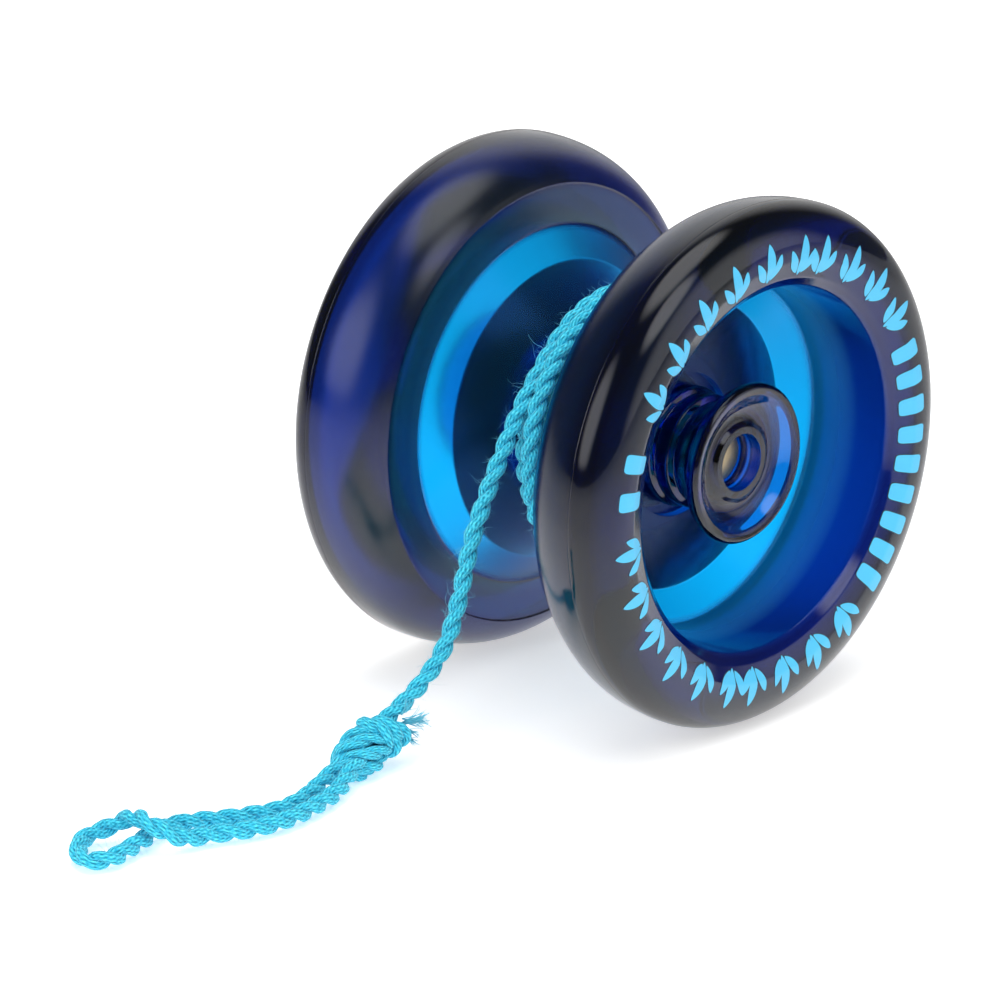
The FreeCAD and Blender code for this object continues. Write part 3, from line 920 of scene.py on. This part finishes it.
def knot_axes():
    """Along the knot towards the finger loop, level across it, and up from it."""
    axis = (Vector(LOOP_ROUTE[1]) - Vector(FREE_ROUTE[-2])).normalized()
    side = axis.cross(Vector((0, 0, 1))).normalized()
    return axis, side, side.cross(axis)


def knot_strand(start, end, turns, phase, radii, steps=30):
    """Points of a strand that winds about the knot's axis; radii are at its start, middle and end."""
    points = []
    first, middle, last = radii
    for step in range(steps + 1):
        share = step / steps
        radius = (first * (1 - share) * (1 - 2 * share) + middle * 4 * share * (1 - share)
                  + last * share * (2 * share - 1))
        angle = phase + 2 * math.pi * turns * share
        points.append(knot_point(start + (end - start) * share, radius, angle))
    return points


def knot_ring(place, radius, lean, lean_angle, seam=math.radians(-50), steps=30):
    """Points of one turn round the knot that closes on itself out of sight, leaning along the axis."""
    angles = [seam + 2 * math.pi * (step - 0.5) / (steps - 1) for step in range(steps + 1)]
    return [knot_point(place + lean * math.cos(angle - lean_angle), radius, angle) for angle in angles]


def knot_point(along, radius, angle):
    """The place that lies along the knot, at a radius and an angle round its axis."""
    axis, side, top = knot_axes()
    spoke = side * math.cos(angle) + top * math.sin(angle)
    return tuple(KNOT_CENTRE + (axis * along + spoke * radius) * MM)


def make_knot(material):
    """Slip knot: two turns drawn tight at the string's end, and the slanting strands that they hold."""
    strands = [(KNOT_RING_DIAMETER, knot_ring(place, radius, lean, KNOT_LEAN_ANGLE))
               for place, radius, lean in KNOT_RINGS]
    for index in range(KNOT_STRANDS):
        phase = math.radians(KNOT_FIRST_ANGLE + 360 / KNOT_STRANDS * index)
        points = knot_strand(*KNOT_STRAND_ENDS, KNOT_STRAND_TURNS, phase, KNOT_STRAND_RADII)
        strands.append((KNOT_STRAND_DIAMETER, points))
    pieces = []
    for diameter, points in strands:
        line, at = evenly(smooth_line(points, 8), KNOT_STEP)
        pieces.append(twisted_cord("string_knot_turns", line, at, material, diameter=diameter * MM))
    knot = joined(pieces)
    for vertex in knot.data.vertices:
        vertex.co.z = max(vertex.co.z, KNOT_LOWEST)
    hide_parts("string_knot")
    return knot


def joined(pieces):
    """The first mesh piece with the others made part of it."""
    whole = bmesh.new()
    for piece in pieces:
        whole.from_mesh(piece.data)
    whole.to_mesh(pieces[0].data)
    whole.free()
    for piece in pieces[1:]:
        bpy.data.objects.remove(piece)
    return pieces[0]


# Tufts of cut ends beside the knot, in millimetres: place and heading, each across and up from the
# string's end, then length, number of fibres and how far they spread.
FRAY_TUFTS = [
    ((1.3, 1.4), (0.6, 0.9), 2.0, 8, 0.05),
    ((1.7, 0.6), (1.0, 0.1), 2.4, 40, 0.20),
    ((2.0, -0.4), (1.0, -0.30), 1.5, 12, 0.10),
    ((2.0, -1.2), (0.9, -0.60), 1.4, 12, 0.10),
]
FRAY_PLACE = -2.4               # of the string's end, along the knot from its middle


def make_frays(material):
    """Cut ends of the string that stick out beside the knot."""
    luck = random.Random(11)
    across, up = Vector((0.68, -0.74, 0)), Vector((0, 0, 1))
    root = Vector(knot_point(FRAY_PLACE, 0, 0))
    hairs = []
    for place, heading, length, count, spread in FRAY_TUFTS:
        for _ in range(count):
            start = root + (across * (place[0] + luck.gauss(0, spread))
                            + up * (place[1] + luck.gauss(0, spread))) * MM
            direction = (across * (heading[0] + luck.gauss(0, spread))
                         + up * (heading[1] + luck.gauss(0, spread)))
            hairs.append(hair(start, direction, length * luck.uniform(0.75, 1.1) * MM,
                              luck.uniform(0.04, 0.08) * MM, luck, 0.35))
    return fibre_mesh("string_frays", hairs, material)


def make_string():
    route = winding_route() + [tuple(value * MM for value in point) for point in FREE_ROUTE + LOOP_ROUTE]
    line, at = evenly(smooth_line(route, 10), CORD_STEP)
    material, fuzz = string_material(), fuzz_material()
    cord = twisted_cord("string", line, at, material)
    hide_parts("string_winding", "string_free", "finger_loop")
    extras = [make_knot(material), make_frays(fuzz), make_fuzz(line, at, fuzz)]
    for piece in [cord] + extras:
        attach(piece, STRING)


# ------------------------------------------------------------------ printed marks
# Petals of one sprig, in millimetres: foot, along the ring and out from it, then length, width and lean.
PETALS = [
    ((0.0, -2.0), 4.2, 1.25, 0.08),
    ((-0.40, -1.75), 2.9, 1.05, -0.50),
    ((0.40, -1.75), 2.9, 1.05, 0.50),
]
SPRIG_RADIUS = 22.6 * MM
SPRIG_STEP = 13.1               # degrees
# Rows of bars: angle of the first and step to the next in degrees, how many, and radius.
BAR_ROWS = [(21.0, -8.3, 9, 22.0 * MM), (163.0, 9.5, 2, 22.8 * MM)]
BAR_WIDTH = 1.9 * MM
BAR_HEIGHT = 3.3 * MM
INK_SUNK = 0.012 * MM           # how far a mark reaches into the face
INK_TOP = 0.028 * MM            # how far it stands out of it
# Painted shadow round the marks: how far it stands out of the face, and how far past them it reaches.
PRINT_SHADOW_TOP = 0.014 * MM
PRINT_SHADOW_WIDTH = 0.10 * MM      # dark painted shadow that shows round each mark
PETAL_LIFT = 0.003 * MM         # each petal of a sprig lies this much over the one before


def face_profile(outline):
    """Radius and y of the side face between the cup's mouth and the rim, for the front half."""
    cup_mouth, face_depth = 19 * MM, 2.2 * MM
    points = [point for point in outline if point.x > cup_mouth and point.y < face_depth - HALF_WIDTH]
    points.sort(key=lambda point: point.x)
    return [point.x for point in points], [point.y for point in points]


def petal(base, length, width, lean, grow, steps=24):
    """Left and right edge points of a slim petal that grows from base, in (along the ring, outwards)."""
    heading = Vector((math.sin(lean), math.cos(lean)))
    side = Vector((heading.y, -heading.x))
    start = Vector(base) - heading * grow
    pairs = []
    for step in range(steps + 1):
        share = step / steps
        half = (width / 2 + grow) * math.sin(math.pi * share) ** 0.7
        bow = side * math.sin(math.pi * share) * lean * 0.3 * MM
        middle = start + heading * (length + 2 * grow) * share + bow
        pairs.append((middle - side * half, middle + side * half))
    return pairs


def bar(width, height, grow, steps=24):
    """Edge points of an upright bar with round ends."""
    half_width, half_height = width / 2 + grow, height / 2 + grow
    pairs = []
    for step in range(steps + 1):
        rise = -math.cos(math.pi * step / steps)
        half = half_width * (1 - abs(rise) ** 6) ** (1 / 6)
        pairs.append((Vector((-half, half_height * rise)), Vector((half, half_height * rise))))
    return pairs


def printed_shape(marks, pairs, angle, radius, profile, top):
    """Adds one thin mark to the vertices and faces of marks, laid on the side face, with its underside
    sunk a hair into the face and its top just proud of it."""
    radii, ys = profile
    base = len(marks[0])
    columns = 4
    for height in (-INK_SUNK, top):
        for left, right in pairs:
            for column in range(columns + 1):
                across, outwards = left.lerp(right, column / columns)
                r = radius + outwards
                turn = angle - across / radius
                y = float(np.interp(r, radii, ys)) - height
                marks[0].append((r * math.cos(turn), y, AXLE_Z + r * math.sin(turn)))
    rows, width = len(pairs), columns + 1
    layer = rows * width
    for row in range(rows - 1):
        for column in range(columns):
            first = base + row * width + column
            quad = (first, first + 1, first + width + 1, first + width)
            marks[1].append(quad)
            marks[1].append(tuple(corner + layer for corner in reversed(quad)))
    border = list(range(width)) + [row * width + columns for row in range(1, rows)]
    border += [(rows - 1) * width + column for column in range(columns - 1, -1, -1)]
    border += [row * width for row in range(rows - 2, 0, -1)]
    for first, second in zip(border, border[1:] + border[:1]):
        marks[1].append((base + first, base + second, base + layer + second, base + layer + first))


def sprig_angles():
    """Angles of ten sprigs over the top and ten round the bottom; in each ten, two stand closer."""
    over = [147.0 - SPRIG_STEP * index + (4.5 if index > 5 else 0.0) for index in range(10)]
    under = [-59.0 - SPRIG_STEP * index + (4.0 if index > 3 else 0.0) for index in range(10)]
    return [math.radians(angle) for angle in over + under]


def make_print(outline, name, material, grow, top):
    """A ring of plain three-petal sprigs, with rows of bars on the two sides."""
    profile = face_profile(outline)
    marks = ([], [])
    for angle in sprig_angles():
        for layer, (base, length, width, lean) in enumerate(PETALS):
            shape = petal((base[0] * MM, base[1] * MM), length * MM, width * MM, lean, grow)
            printed_shape(marks, shape, angle, SPRIG_RADIUS, profile, top + layer * PETAL_LIFT)
    for first, step, count, radius in BAR_ROWS:
        for index in range(count):
            angle = math.radians(first + step * index)
            printed_shape(marks, bar(BAR_WIDTH, BAR_HEIGHT, grow), angle, radius, profile, top)
    piece = outward(mesh_object(name, *marks, material, smooth=False))
    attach(piece, FRONT)


# ------------------------------------------------------------------ assembling
def make_turned_pieces():
    blue, navy = moulding_material(), post_material()
    brass, silicone = brass_material(), silicone_material()
    for side, body in (("rear", ROTOR), ("front", FRONT)):
        for node, name, slot, material, gap in (
            ("_half", "_half_moulding", "blue_moulding", blue, 0.0),
            ("_hub_post", "_post_moulding", "navy_moulding", navy, FIT_GAP),
            ("_axle_nut", "_nut_turned", "brass", brass, 0.0),
            ("_response_pad", "_pad_ring", "silicone", silicone, FIT_GAP),
        ):
            outline = smooth_outline(side + node, gap)
            if node == "_half":
                outline = with_parting_line(outline)
            turned_piece(side + node, side + name, body, material, outline)
    face = smooth_outline("front_half")
    # Under the marks, a little wider than them, lies a dark painted shadow round each one.
    make_print(face, "print_shadows", print_shadow_material(), PRINT_SHADOW_WIDTH, PRINT_SHADOW_TOP)
    make_print(face, "print_marks", ink_material(), 0.0, INK_TOP)


def paint(material, *names):
    for name in names:
        NODES[name].data.materials.clear()
        NODES[name].data.materials.append(material)


def paint_frame():
    """Materials for the CAD nodes that stay as they are."""
    steel = metal_material("bearing_steel", (0.62, 0.63, 0.65), 0.22)
    paint(steel, "bearing_outer_ring", "bearing_inner_ring", "front_shield", "rear_shield")
    paint(metal_material("spring_steel", (0.45, 0.46, 0.48), 0.35), "front_shield_clip", "rear_shield_clip")
    paint(metal_material("axle_steel", (0.30, 0.31, 0.33), 0.35, 2500), "axle")
    aluminium = metal_material("turned_aluminium", (0.75, 0.76, 0.78), 0.28)
    paint(aluminium, "front_bearing_seat", "rear_bearing_seat")
    balls = ["ball_%d" % index for index in range(1, 9)]
    paint(metal_material("ball_steel", (0.75, 0.76, 0.78), 0.08), *balls)
    paint(cage_material(), "bearing_cage")


bpy.context.scene.view_settings.view_transform = "Standard"
make_camera()
make_string()
make_world()
make_lights()
make_floor()
make_turned_pieces()
paint_frame()
